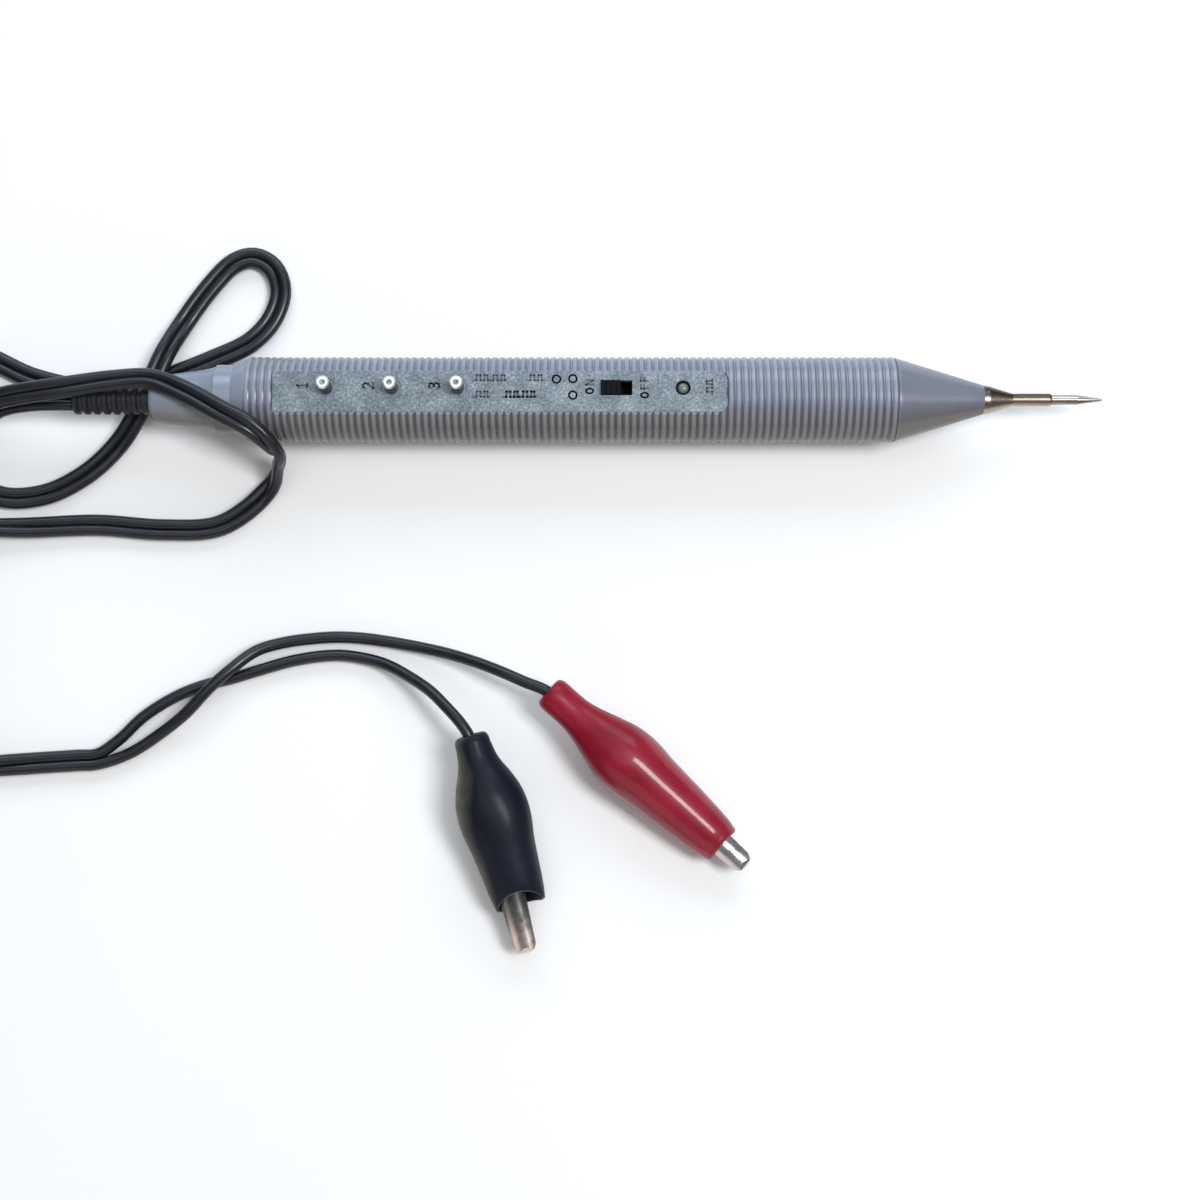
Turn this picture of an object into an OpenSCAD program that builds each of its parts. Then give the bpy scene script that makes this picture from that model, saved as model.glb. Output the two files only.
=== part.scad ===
// Hand-held logic probe with a ribbed barrel, a slide switch, three terminal
// posts, an indicator lamp and a twin power lead that ends in two alligator clips.
// The probe lies along X with its needle to +X and its label facing +Z.
// The origin is on the table, under the middle of the probe's length.

/* [Barrel] */
// Diameter over the ribs
barrel_d = 18; // [16:0.1:20]
// Length of the ribbed stretch
ribbed_len = 136.2; // [120:0.1:150]
// Number of ribs along the barrel
rib_count = 88; // [60:1:110]
// Depth of the grooves between the ribs
rib_depth = 0.3; // [0.15:0.05:0.4]
// Radius of the round cavity inside the barrel
bore_r = 6.5; // [6.2:0.1:6.7]
// Length of the chamfer behind the ribs
chamfer_len = 2.9; // [2:0.1:4]
// Length of the smooth shoulder behind the chamfer
shoulder_len = 3.6; // [3:0.1:6]
// Radius of the smooth shoulder
shoulder_r = 7.4; // [7.2:0.1:8]
// Length of the smooth nose cone
nose_len = 18.9; // [15:0.1:24]
// Radius of the small end of the nose cone
nose_r = 3.15; // [2.9:0.05:3.6]

/* [Tail] */
// Length of the tail cone
tail_len = 14; // [12:0.1:18]
// Radius of the tail cone at its rear end
tail_r = 4.6; // [4.4:0.1:5.2]
// Length of the strain relief behind the tail cone
relief_len = 16.55; // [12:0.05:22]
// Radius of the strain relief
relief_r = 3.1; // [2.8:0.1:3.4]
// Number of rings on the strain relief
relief_rings = 7; // [4:1:9]

/* [Tip] */
// Length of the tapered metal collar
collar_len = 6.3; // [5:0.1:9]
// Length of the rod in front of the collar
rod_len = 8.3; // [6:0.1:12]
// Radius of the rod
rod_r = 1.38; // [1.3:0.02:1.6]
// Length of the bare needle
needle_len = 10.75; // [9:0.05:16]
// Radius of the needle
needle_r = 1.0; // [0.9:0.05:1.1]
// Length of the needle's taper
taper_len = 5.3; // [4:0.1:7]

/* [Panel] */
// Height of the label flat above the barrel's axis
flat_h = 7.6; // [7.5:0.05:7.9]
// Rear end of the label
label_rear = -65.6; // [-68:0.1:-60]
// Length of the label
label_len = 94.6; // [90:0.1:98]
// Width of the label
label_w = 8.6; // [8:0.1:9]
// Thickness of the label plate
label_t = 0.3; // [0.2:0.05:0.4]
// Offset of the panel parts from the middle of the label
panel_y = 0.8; // [0:0.1:1]
// Distance of the rear post from the label's rear end
post_from_rear = 11.1; // [8:0.1:13]
// Distance from post to post
post_pitch = 13.7; // [12:0.1:15]
// Radius of a terminal post
post_r = 1.4; // [1.2:0.05:1.6]
// Height of a terminal post above the label
post_h = 5; // [3:0.1:7]
// Distance of the switch slot's middle from the label's rear end
switch_from_rear = 71.5; // [69:0.1:74]
// Length of the switch slot
slot_len = 6.5; // [6.2:0.1:7]
// Width of the switch slot
slot_w = 3.1; // [3:0.05:3.4]
// Length of the switch lever's stem
lever_len = 3.9; // [3.5:0.1:4]
// Height of the lever above the label
lever_h = 0.9; // [0.5:0.1:2]
// Distance of the lamp from the label's rear end
lamp_from_rear = 85.3; // [84:0.1:88]
// Radius of the lamp
lamp_r = 1.5; // [1.4:0.05:1.6]

/* [Circuit board] */
// Board thickness
board_t = 1.6; // [1:0.1:1.6]
// Half of the board's width
board_hw = 6.0; // [5.6:0.1:6.1]
// Rear end of the board
board_rear = -73; // [-74:0.5:-66]
// Front end of the board
board_front = 55; // [48:0.5:56]

/* [Lead] */
// Diameter of one conductor over its insulation
wire_d = 2.2; // [2:0.1:2.3]
// Middle radius of the tied coil
coil_r = 24.5; // [22:0.5:26]
// Coil centre along X
coil_x = -157; // [-165:1:-155]
// Coil centre along Y
coil_y = -52.5; // [-54:0.5:-51]

/* [Clips] */
// Length of the red clip's boot
red_boot_len = 48.6; // [46:0.1:51]
// Length of the black clip's boot, which is pushed back on its clip
black_boot_len = 37; // [36:0.1:39]
// Radius of a boot's neck
neck_r = 3.7; // [3.4:0.05:3.8]
// Radius of the red boot's belly
red_belly_r = 7.1; // [6.9:0.1:7.6]
// Radius of the black boot's belly
black_belly_r = 7.5; // [7.4:0.1:8]
// Radius of the red boot's mouth
red_mouth_r = 4.4; // [4.3:0.05:4.7]
// Radius of the black boot's mouth
black_mouth_r = 5.2; // [5:0.05:5.5]
// How far the red boot's mouth is cut back over the jaws
red_scoop = 1; // [0.6:0.1:2]
// How far the black boot's mouth is cut back over the jaws
black_scoop = 3.9; // [3:0.1:4.5]
// Wall thickness of a boot
boot_wall = 0.8; // [0.6:0.05:0.85]
// Length of a metal clip from its crimp to its nose
clip_len = 39; // [38.5:0.1:40]
// Distance of the jaw pin from the nose
jaw_len = 21.5; // [21:0.1:22]
// How far the red clip's crimp lies inside its boot
red_depth = 16.1; // [15.5:0.05:17]
// How far the black clip's crimp lies inside its boot
black_depth = 7.6; // [7.3:0.05:8.5]
// How far the black clip's metal is turned inside its loose boot, degrees
black_skew = 2; // [0:0.1:2]
// Half width of the moving jaw
jaw_hw = 2.9; // [2.8:0.05:3]
// Sheet thickness of the jaws
sheet_t = 0.5; // [0.4:0.05:0.6]
// Pitch of the jaw teeth
tooth_pitch = 1.6; // [1.2:0.1:2]
// Radius of the jaw pin
pin_r = 1.0; // [0.9:0.05:1.1]
// How far the red clip's nose leans down where it lies on the table, degrees
red_lean = 5.3; // [5:0.1:6]
// How far the black clip's nose leans down where it lies on the table, degrees
black_lean = 7.4; // [7:0.1:8]
// Red clip's neck end along X
red_x = -8.3; // [-12:0.1:-4]
// Red clip's neck end along Y
red_y = -61.6; // [-66:0.05:-60]
// Red clip's heading, degrees
red_yaw = -41.4; // [-45:0.1:-38]
// Black clip's neck end along X
black_x = -24.4; // [-29:0.1:-22]
// Black clip's neck end along Y
black_y = -70.9; // [-74:0.1:-67]
// Black clip's heading, degrees
black_yaw = -73.2; // [-78:0.1:-70]

/* [Hidden] */
$fn = 48;
axis_z = barrel_d / 2;
barrel_r = barrel_d / 2;
total_len = relief_len + tail_len + shoulder_len + chamfer_len + ribbed_len
          + nose_len + collar_len + rod_len + needle_len;
x_tip = total_len / 2;
x_needle = x_tip - needle_len;
x_rod = x_needle - rod_len;
x_collar = x_rod - collar_len;
x_nose = x_collar - nose_len;
x_ribs = x_nose - ribbed_len;
x_shoulder = x_ribs - chamfer_len;
x_seam = x_shoulder - shoulder_len;
x_tail = x_seam - tail_len;
x_relief = x_tail - relief_len;

rib_pitch = ribbed_len / rib_count;
spigot_r = 4.9;
spigot_len = 6;
spigot_bore = 3.9;
relief_seat = 2.4;
flange_out = 4.2;
x_inner = x_tail + 4;
nose_spigot_r = 2.1;
nose_spigot_len = 2;
needle_tail_r = needle_r - 0.2;
needle_bore = needle_tail_r + 0.05;
needle_rear = 49;
flat_z = axis_z + flat_h;
panel_top = axis_z + barrel_r + 1;
label_top = flat_z + label_t;
label_corner = 2;
board_top = axis_z;
board_bot = board_top - board_t;
pin_bot = board_bot - 0.9;
post_neck = post_r - 0.3;
post_hole = post_neck + 0.05;
shank_r = 0.6;
flange_z = axis_z + 4.4;
flange_t = 1.1;
flange_r = 2;
wire_hole_r = 0.6;
wire_hole_len = 2.4;
post_list = [for (i = [0 : 2]) label_rear + post_from_rear + i * post_pitch];
label_front = label_rear + label_len;
switch_x = label_rear + switch_from_rear;
lamp_x = label_rear + lamp_from_rear;

// Slide switch, measured from the board upwards
can_len = 9.4;
can_w = 5.2;
can_h = 5.2;
foot_len = 5;
foot_w = 3.8;
foot_z = board_top + 2.4;
foot_t = 1.2;
lever_x = switch_x - slot_len / 2 + 0.08 + lever_len / 2;
lever_w = slot_w - 0.2;
terminal_pitch = 2.5;

// Small parts on the board
chip_to_switch = 19.4;
chip_x = switch_x - chip_to_switch;
chip_len = 19.3;
chip_w = 6.4;
chip_z = board_top + 0.5;
chip_h = 3.4;
leg_pitch = 2.54;
leg_row = 3.81;
resistor_r = 1.1;
resistor_leg = 0.28;
resistor_span = 10;
resistor_y = 3.7;
resistor_gap = 6.7;
resistor_list = concat(
    [for (x = post_list) [x - post_pitch / 2, -resistor_y]],
    [[switch_x + resistor_gap, -resistor_y], [lamp_x + resistor_gap, resistor_y]]);
transistor_r = 2.3;
transistor_h = 4.6;
transistor_gap = 9.3;
transistor_pitch = 8;
transistor_list = [lamp_x + transistor_gap, lamp_x + transistor_gap + transistor_pitch];
capacitor_r = 2;
capacitor_len = 8;
capacitor_from_front = 11;
capacitor_x = board_front - capacitor_from_front;
ledge_w = 1.7;
ledge_h = 1.2;
ledge_y = bore_r - ledge_w / 2 - 0.1;

// Lead: half of the twin's width is one conductor's diameter
twin_w = 2 * wire_d;
coil_half_w = 2.4;
coil_bot = 0.6;
coil_h = 8.8;
tie_t = 0.5;
tie_w = 3;

// Route of the twin lead from the strain relief: x, y, z and roll in degrees.
// It loops back under the strain relief, over the tail cone and on to the coil.
rear_route = [
    [x_relief, 0, axis_z, 0], [-113, 0, axis_z, 0], [-119, -0.1, 8.2, 0], [-126.4, -1.2, 5.8, 0],
    [-132.7, -5.8, 2.8, 0], [-133.9, -13.3, 1.3, 0], [-127.2, -19.1, 1.3, 0],
    [-117.3, -19.1, 1.3, 0], [-108, -14.5, 1.3, 0], [-101, -7.7, 1.6, 0], [-96.9, -1.7, 3.3, 0],
    [-94.9, 2.5, 3.9, 0], [-93.2, 6.8, 3.9, 0], [-91.3, 11.6, 3.4, 0], [-87.7, 19, 1.4, 0],
    [-82.3, 26.9, 1.3, 0], [-77.2, 32.3, 1.3, 0], [-72.9, 34.1, 1.3, 0], [-68.9, 31.4, 1.3, 0],
    [-67, 26.2, 1.3, 0], [-68.6, 20, 1.3, 0], [-73.1, 14.7, 1.3, 0], [-81.3, 10.6, 1.2, 0],
    [-90.5, 6.9, 1.2, 0], [-98.1, 4.5, 1.2, 0], [-108.1, 4, 1.2, 0], [-120.2, 6.6, 1.2, 0],
    [-133.5, 12.2, 1.2, 0], [-142.5, 11.2, 1.8, 0], [-147, 5.2, 3, 0], [-143, -1.2, 5.2, 0],
    [-133.9, -1.9, 8.4, 0], [-122, 0.2, 11.8, 0], [-111.1, 1.5, 13.5, 0], [-99.1, 3.1, 14, -15],
    [-91.6, 3.2, 14.7, -19], [-84, 0.1, 16.7, 0], [-75.9, -4.5, 18, 15], [-70.2, -7.5, 17.7, 30],
    [-65.8, -11.3, 13.8, 62], [-65.5, -13.2, 7.4, 80], [-68, -17, 1.9, 30],
    [-73.5, -22.5, 1.3, 0], [-79.8, -26, 1.3, 0], [-91.2, -26.6, 1.3, 0],
    [-105.2, -25.6, 1.3, 0], [-121, -26.2, 1.5, 20], [-134.9, -26.1, 2.4, 60],
    [-148, -27.2, 3.2, 90]];

// Route of the twin lead from the coil to the split
front_route = [
    [-150, -78, 5.2, 90], [-141, -78.8, 4, 60], [-127.9, -77.3, 2.2, 30],
    [-116.2, -76.4, 1.3, 0], [-103.7, -75.6, 1.3, 0]];

// Routes of the single conductors from the split to the clips
red_route = [
    [-103.6, -76.75, 1.3], [-101.8, -76.6, 1.3], [-96.9, -74.4, 1.3], [-90.6, -70.4, 1.6],
    [-84.8, -66, 2.9], [-80.2, -61.1, 3.6], [-75.8, -57, 3.3], [-70.4, -52.7, 2],
    [-64.8, -50.9, 1.3], [-59.4, -50.1, 1.3], [-53.9, -49.7, 1.3], [-48.5, -49.9, 1.3],
    [-43.1, -50.6, 1.4], [-36.1, -51.9, 2], [-29.5, -53.5, 3.6], [-23.2, -55.5, 6.2],
    [-16.7, -57.7, 8.8]];
black_route = [
    [-103.6, -74.45, 1.3], [-102.2, -74.4, 1.3], [-99.2, -71.5, 1.3], [-94.1, -66.6, 1.3],
    [-87.3, -62.3, 1.2], [-81.9, -60.1, 1.2], [-76, -58.6, 1.2], [-70, -56.8, 1.3],
    [-62, -54.6, 1.3], [-53.9, -53.6, 1.3], [-48.5, -54.1, 1.5], [-43, -55.6, 2.6],
    [-37.9, -58, 4.9], [-32.9, -61.5, 7.9], [-28.8, -65, 10.2]];

// Boots: fractions of the length, and of the step from the neck or the mouth to the belly
red_swell = [
    [0.149, 0.014], [0.192, 0.11], [0.255, 0.35], [0.297, 0.54], [0.341, 0.72], [0.382, 0.875], [0.446, 1]];
red_taper = [
    [0.515, 0.966], [0.594, 0.776], [0.673, 0.655], [0.802, 0.46], [0.905, 0.26], [0.955, 0.13], [1, 0]];
black_swell = [
    [0.143, 0.12], [0.197, 0.3], [0.252, 0.55], [0.309, 0.754], [0.364, 0.911], [0.442, 1]];
black_taper = [
    [0.501, 0.982], [0.556, 0.893], [0.639, 0.66], [0.779, 0.43], [0.883, 0.286], [0.965, 0.12], [1, 0]];
function boot_profile(length, belly, mouth, swell, taper, inset) = concat(
    [for (p = swell) [p[0] * length, neck_r + p[1] * (belly - neck_r) - inset]],
    [for (p = taper) [p[0] * length, mouth + p[1] * (belly - mouth) - inset]]);
red_boot_shape = [red_boot_len, red_belly_r, red_mouth_r, red_swell, red_taper];
black_boot_shape = [black_boot_len, black_belly_r, black_mouth_r, black_swell, black_taper];

// Height at which a leaning boot just lies on the table
function lying_z(s, lean) =
    max([for (p = boot_profile(s[0], s[1], s[2], s[3], s[4], 0)) p[0] * sin(lean) + p[1] * cos(lean)]) + 0.05;
red_pose = [red_x, red_y, lying_z(red_boot_shape, red_lean), red_lean, red_yaw];
black_pose = [black_x, black_y, lying_z(black_boot_shape, black_lean), black_lean, black_yaw];

// Metal clip, measured from the rear end of its crimp
pivot_x = clip_len - jaw_len;
inner_hw = jaw_hw - sheet_t - 0.1;
ear_r = 2.3;
jaw_h = 3.7;
nose_h = 2;
lip_drop = 0.6;
crown_over = 1;
roof_end = 1.5;
crimp_r = 1.7;
crimp_len = 4.2;
neck_bore = wire_d / 2 + 0.1;
neck_len = 6.8;

plastic = [0.50, 0.54, 0.60];
metal = [0.80, 0.81, 0.82];
steel = [0.62, 0.62, 0.60];
rubber = [0.10, 0.11, 0.13];
red_vinyl = [0.62, 0.08, 0.15];
black_vinyl = [0.12, 0.13, 0.16];
board_green = [0.12, 0.32, 0.18];

// A body of revolution about the probe's axis, from a profile of [x, radius]
module turned(profile, span = 360, from = 0) {
    translate([0, 0, axis_z])
        rotate([0, 90, 0])
            rotate([0, 0, from])
                rotate_extrude(angle = span)
                    polygon([for (p = profile) [p[1], p[0]]]);
}

// A round hole or pin that stands upright on the panel
module upright(x, y, r, z0, z1) {
    translate([x, y, z0])
        cylinder(r = r, h = z1 - z0);
}

// A block given by its lowest corner and its highest corner
module block(a, b) {
    translate(a)
        cube(b - a);
}

// One rib after another: a flat groove floor, a flank, a crest with eased edges
function rib_points() = [
    for (i = [0 : rib_count - 1], p = [[0.14, 1], [0.26, 0.3], [0.42, 0], [0.72, 0], [0.88, 0.3], [1, 1]])
        [x_ribs + (i + p[0]) * rib_pitch, barrel_r - p[1] * rib_depth]];

shell_outside = concat(
    [[x_seam - spigot_len, spigot_r], [x_seam, spigot_r], [x_seam, shoulder_r],
     [x_shoulder, shoulder_r], [x_ribs, barrel_r - rib_depth]],
    rib_points(),
    [[x_nose, barrel_r - 0.1], [x_nose + 0.6, barrel_r - 0.25], [x_collar, nose_r],
     [x_collar, nose_spigot_r], [x_collar + nose_spigot_len, nose_spigot_r]]);

shell_inside = [
    [x_collar + nose_spigot_len, needle_bore], [x_nose + 3, needle_bore],
    [x_nose - 5.5, bore_r], [x_seam + 2.5, bore_r],
    [x_seam + 2.5, spigot_bore], [x_seam - spigot_len, spigot_bore]];

// Half of the barrel: span of half a turn starting at the given angle
module half_shell(from) {
    turned(concat(shell_outside, shell_inside), 180, from);
}

// Outline of the label: a bar whose front corners are rounded
module label_outline(margin) {
    w = label_w + 2 * margin;
    front = label_front + margin;
    r = label_corner;
    translate([label_rear - margin, -w / 2])
        square([label_len + 2 * margin - r, w]);
    translate([front - r, -w / 2 + r])
        square([r, w - 2 * r]);
    for (s = [-1, 1])
        translate([front - r, s * (w / 2 - r)])
            circle(r);
}

module slot_block(grow, z0, z1) {
    block([switch_x - slot_len / 2 - grow, panel_y - slot_w / 2 - grow, z0],
          [switch_x + slot_len / 2 + grow, panel_y + slot_w / 2 + grow, z1]);
}

// The recess for the label is open to the sides, so the ribs end at the flat
module label_recess() {
    front = label_front + 0.15;
    r = label_corner;
    translate([0, 0, flat_z])
        linear_extrude(4) {
            translate([label_rear - 0.15, -6])
                square([label_len + 0.3 - r, 12]);
            translate([front - r - 0.01, -label_w / 2 + r])
                square([r + 0.01, label_w - 2 * r]);
            for (s = [-1, 1])
                translate([front - r, s * (label_w / 2 - r)])
                    circle(r);
        }
}

module upper_shell() {
    color(plastic)
        difference() {
            half_shell(90);
            label_recess();
            for (x = post_list)
                upright(x, panel_y, post_hole, axis_z + 3, panel_top);
            upright(lamp_x, panel_y, lamp_r + 0.05, axis_z + 3, panel_top);
            slot_block(0, axis_z + 3, panel_top);
        }
}

// The lower half carries the two ledges that the board lies on
module lower_shell() {
    color(plastic) {
        half_shell(-90);
        for (s = [-1, 1])
            translate([board_rear, s * ledge_y - ledge_w / 2, board_bot - ledge_h])
                cube([board_front - board_rear - ledge_h, ledge_w, ledge_h]);
    }
}

// The tail's curve, as fractions of its length and of the step from its rear end to the shoulder
tail_curve = [
    [0, 1], [0.114, 0.816], [0.229, 0.667], [0.357, 0.557], [0.536, 0.451], [0.679, 0.353], [0.821, 0.204]];

module tail_cone() {
    lip = x_tail + relief_seat;
    color(plastic)
        turned(concat(
            [for (p = tail_curve) [x_seam - p[0] * tail_len, tail_r + p[1] * (shoulder_r - 0.25 - tail_r)]],
            [[x_tail + 0.6, tail_r + 0.2], [x_tail, tail_r - 0.2],
             [x_tail, relief_r + 0.05], [lip, relief_r + 0.05],
             [lip, flange_out + 0.1], [x_seam - spigot_len - 0.1, flange_out + 0.1],
             [x_seam - spigot_len - 0.1, spigot_r + 0.05], [x_seam, spigot_r + 0.05]]));
}

// Rings alternate with grooves along the free length of the strain relief
module strain_relief() {
    pitch = (relief_len - 2) / relief_rings;
    grooves = [for (i = [relief_rings - 1 : -1 : 0], p = [[1, 0], [0.62, 0], [0.5, 0.5], [0.12, 0.5]])
        [x_relief + 1 + (i + p[0]) * pitch, relief_r - p[1]]];
    color(rubber)
        turned(concat(
            [[x_inner, 0], [x_inner, flange_out], [x_tail + relief_seat, flange_out],
             [x_tail + relief_seat, relief_r]],
            grooves,
            [[x_relief + 1, relief_r], [x_relief + 0.3, relief_r],
             [x_relief, relief_r - 0.3], [x_relief, 0]]));
}

module label_plate() {
    color([0.64, 0.67, 0.70])
        difference() {
            translate([0, 0, flat_z])
                linear_extrude(label_t)
                    label_outline(0);
            for (x = post_list)
                upright(x, panel_y, post_r + 0.6, flat_z - 1, flat_z + 1);
            upright(lamp_x, panel_y, lamp_r + 0.1, flat_z - 1, flat_z + 1);
            slot_block(0.05, flat_z - 1, flat_z + 1);
        }
}

// A tapered ferrule with a slim rod, bored for the needle
module tip_collar() {
    socket_r = nose_spigot_r + 0.02;
    color(metal)
        turned([
            [x_collar, nose_r - 0.05], [x_collar + 1.2, nose_r - 0.2],
            [x_rod - 1.2, rod_r + 0.35], [x_rod, rod_r],
            [x_needle - 0.5, rod_r], [x_needle - 0.15, rod_r - 0.1], [x_needle, rod_r - 0.3],
            [x_needle, needle_bore], [x_collar + nose_spigot_len + 0.1, needle_bore],
            [x_collar + nose_spigot_len + 0.1, socket_r], [x_collar, socket_r]]);
}

module tip_needle() {
    color(metal)
        turned([
            [needle_rear, 0], [needle_rear, needle_tail_r], [x_needle, needle_tail_r],
            [x_needle, needle_r], [x_tip - taper_len, needle_r],
            [x_tip - 0.35, 0.3], [x_tip - 0.1, 0.18], [x_tip, 0]]);
}

// A turned post with a wire hole in its top: it stands on the flat, is held by a flange
// inside the barrel and is soldered to the board by its shank
module post(x) {
    top = label_top + post_h;
    color(metal)
        translate([x, panel_y, 0])
            rotate_extrude()
                polygon([
                    [0, pin_bot], [shank_r, pin_bot], [shank_r, flange_z], [flange_r, flange_z],
                    [flange_r, flange_z + flange_t], [post_neck, flange_z + flange_t],
                    [post_neck, flat_z], [post_r, flat_z], [post_r, top - 0.3],
                    [post_r - 0.3, top], [wire_hole_r, top],
                    [wire_hole_r, top - wire_hole_len], [0, top - wire_hole_len - 0.4]]);
}

module rear_post() {
    post(post_list[0]);
}

module middle_post() {
    post(post_list[1]);
}

module front_post() {
    post(post_list[2]);
}

module switch_housing() {
    top = board_top + can_h;
    color(steel)
        difference() {
            block([switch_x - can_len / 2, panel_y - can_w / 2, board_top],
                  [switch_x + can_len / 2, panel_y + can_w / 2, top]);
            block([switch_x - 3.8, panel_y - 2, board_top + 2.3],
                  [switch_x + 3.8, panel_y + 2, board_top + 4.2]);
            slot_block(0, board_top + 3, top + 1);
        }
}

module switch_terminals() {
    color(metal)
        for (i = [-1 : 1])
            block([switch_x + i * terminal_pitch - 0.4, panel_y - 0.25, pin_bot],
                  [switch_x + i * terminal_pitch + 0.4, panel_y + 0.25, board_top]);
}

// The lever's foot runs inside the housing and its ridged stem comes out of the slot
module switch_lever() {
    top = label_top + lever_h;
    foot_x = switch_x - 3.7 + foot_len / 2;
    color(black_vinyl)
        difference() {
            union() {
                block([foot_x - foot_len / 2, panel_y - foot_w / 2, foot_z],
                      [foot_x + foot_len / 2, panel_y + foot_w / 2, foot_z + foot_t]);
                block([lever_x - lever_len / 2, panel_y - lever_w / 2, foot_z + foot_t],
                      [lever_x + lever_len / 2, panel_y + lever_w / 2, top]);
            }
            for (i = [-1 : 1])
                block([lever_x + i * 1.1 - 0.25, panel_y - 3, top - 0.4],
                      [lever_x + i * 1.1 + 0.25, panel_y + 3, top + 1]);
        }
}

module indicator_lamp() {
    dome_z = label_top - lamp_r;
    color([0.42, 0.46, 0.40])
        translate([lamp_x, panel_y, 0]) {
            translate([0, 0, axis_z + 3.1])
                cylinder(r = lamp_r + 0.4, h = 0.9);
            translate([0, 0, axis_z + 4])
                cylinder(r = lamp_r, h = dome_z - axis_z - 4);
            translate([0, 0, dome_z])
                rotate_extrude(angle = 360)
                    intersection() {
                        circle(lamp_r);
                        square(lamp_r);
                    }
        }
}

module lamp_leads() {
    color(metal)
        for (s = [-1, 1])
            upright(lamp_x + s * 1.27, panel_y, 0.25, pin_bot, axis_z + 3.1);
}

module circuit_board() {
    color(board_green)
        difference() {
            block([board_rear, -board_hw, board_bot], [board_front, board_hw, board_top]);
            block([needle_rear - 0.2, -needle_tail_r - 0.1, board_bot - 1],
                  [board_front + 1, needle_tail_r + 0.1, board_top + 1]);
            for (x = post_list)
                upright(x, panel_y, shank_r + 0.05, board_bot - 1, board_top + 1);
            for (s = [-1, 1])
                upright(lamp_x + s * 1.27, panel_y, 0.3, board_bot - 1, board_top + 1);
            for (i = [-1 : 1])
                block([switch_x + i * terminal_pitch - 0.45, panel_y - 0.3, board_bot - 1],
                      [switch_x + i * terminal_pitch + 0.45, panel_y + 0.3, board_top + 1]);
            for (i = [-3 : 3], s = [-1, 1])
                upright(chip_x + i * leg_pitch, s * leg_row, 0.4, board_bot - 1, board_top + 1);
            for (r = resistor_list, s = [-1, 1])
                upright(r[0] + s * resistor_span / 2, r[1], resistor_leg + 0.07,
                        board_bot - 1, board_top + 1);
        }
}

// A dual in-line package with its end notch
module logic_chip() {
    color(rubber)
        difference() {
            block([chip_x - chip_len / 2, -chip_w / 2, chip_z],
                  [chip_x + chip_len / 2, chip_w / 2, chip_z + chip_h]);
            upright(chip_x - chip_len / 2, 0, 0.8, chip_z + chip_h - 0.5, chip_z + chip_h + 1);
        }
}

module chip_pins() {
    color(metal)
        for (i = [-3 : 3], s = [-1, 1]) {
            block([chip_x + i * leg_pitch - 0.2, s * leg_row - 0.15, pin_bot],
                  [chip_x + i * leg_pitch + 0.2, s * leg_row + 0.15, chip_z + 1.6]);
            block([chip_x + i * leg_pitch - 0.2, min(s * leg_row, s * chip_w / 2), chip_z + 1.3],
                  [chip_x + i * leg_pitch + 0.2, max(s * leg_row, s * chip_w / 2), chip_z + 1.6]);
        }
}

// Round-backed packages with a flat face
module driver_transistors() {
    color(rubber)
        for (x = transistor_list)
            difference() {
                upright(x, 0, transistor_r, board_top, board_top + transistor_h);
                block([x - 2 * transistor_r, transistor_r / 2, board_top - 1],
                      [x + 2 * transistor_r, 2 * transistor_r, board_top + transistor_h + 1]);
            }
}

module filter_capacitor() {
    color([0.10, 0.16, 0.34])
        translate([capacitor_x, board_hw - capacitor_r - 0.5, board_top + capacitor_r + 0.02])
            rotate([0, 90, 0])
                rotate_extrude()
                    polygon([
                        [0, 0], [capacitor_r - 0.2, 0], [capacitor_r, 0.2], [capacitor_r, 1],
                        [capacitor_r - 0.15, 1.2], [capacitor_r, 1.4],
                        [capacitor_r, capacitor_len], [0, capacitor_len]]);
}

// Axial resistors: a dog-bone body between two legs that drop through the board
module resistors() {
    h = board_top + resistor_r + 0.2;
    waist = resistor_r * 0.82;
    profile = [
        [0, resistor_leg], [0.18, resistor_leg], [0.18, resistor_r], [0.32, resistor_r], [0.36, waist],
        [0.64, waist], [0.68, resistor_r], [0.82, resistor_r], [0.82, resistor_leg], [1, resistor_leg]];
    color([0.72, 0.60, 0.42])
        for (r = resistor_list) {
            translate([r[0] - resistor_span / 2, r[1], h])
                rotate([0, 90, 0])
                    rotate_extrude()
                        polygon([for (p = concat([[0, 0]], profile, [[1, 0]])) [p[1], p[0] * resistor_span]]);
            for (s = [-1, 1])
                upright(r[0] + s * resistor_span / 2, r[1], resistor_leg, pin_bot, h);
        }
}

// The two conductors from the strain relief to their pads on the board
module inner_wires() {
    color(black_vinyl)
        for (s = [-1, 1])
            translate([x_inner, s * (wire_d / 2 + 0.2), board_top + wire_d / 2])
                rotate([0, 90, 0])
                    cylinder(r = wire_d / 2, h = board_rear + 5 - x_inner);
}

// Sweep of a flattened round section along a list of [x, y, z, roll]
function unit(v) = v / norm(v);
function place(p) = [p[0], p[1], p[2]];
function roll_of(p) = len(p) > 3 ? p[3] : 0;
function heading(path, i) =
    unit(place(path[min(i + 1, len(path) - 1)]) - place(path[max(i - 1, 0)]));
function ring(path, i, w, h, n, up) =
    let (t = heading(path, i),
         s = unit(cross(up, t)),
         u = cross(t, s),
         a = roll_of(path[i]),
         wide = cos(a) * s + sin(a) * u,
         thin = cos(a) * u - sin(a) * s)
    [for (k = [0 : n - 1])
        place(path[i]) + w / 2 * cos(360 * (k + 0.5) / n) * wide + h / 2 * sin(360 * (k + 0.5) / n) * thin];

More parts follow.
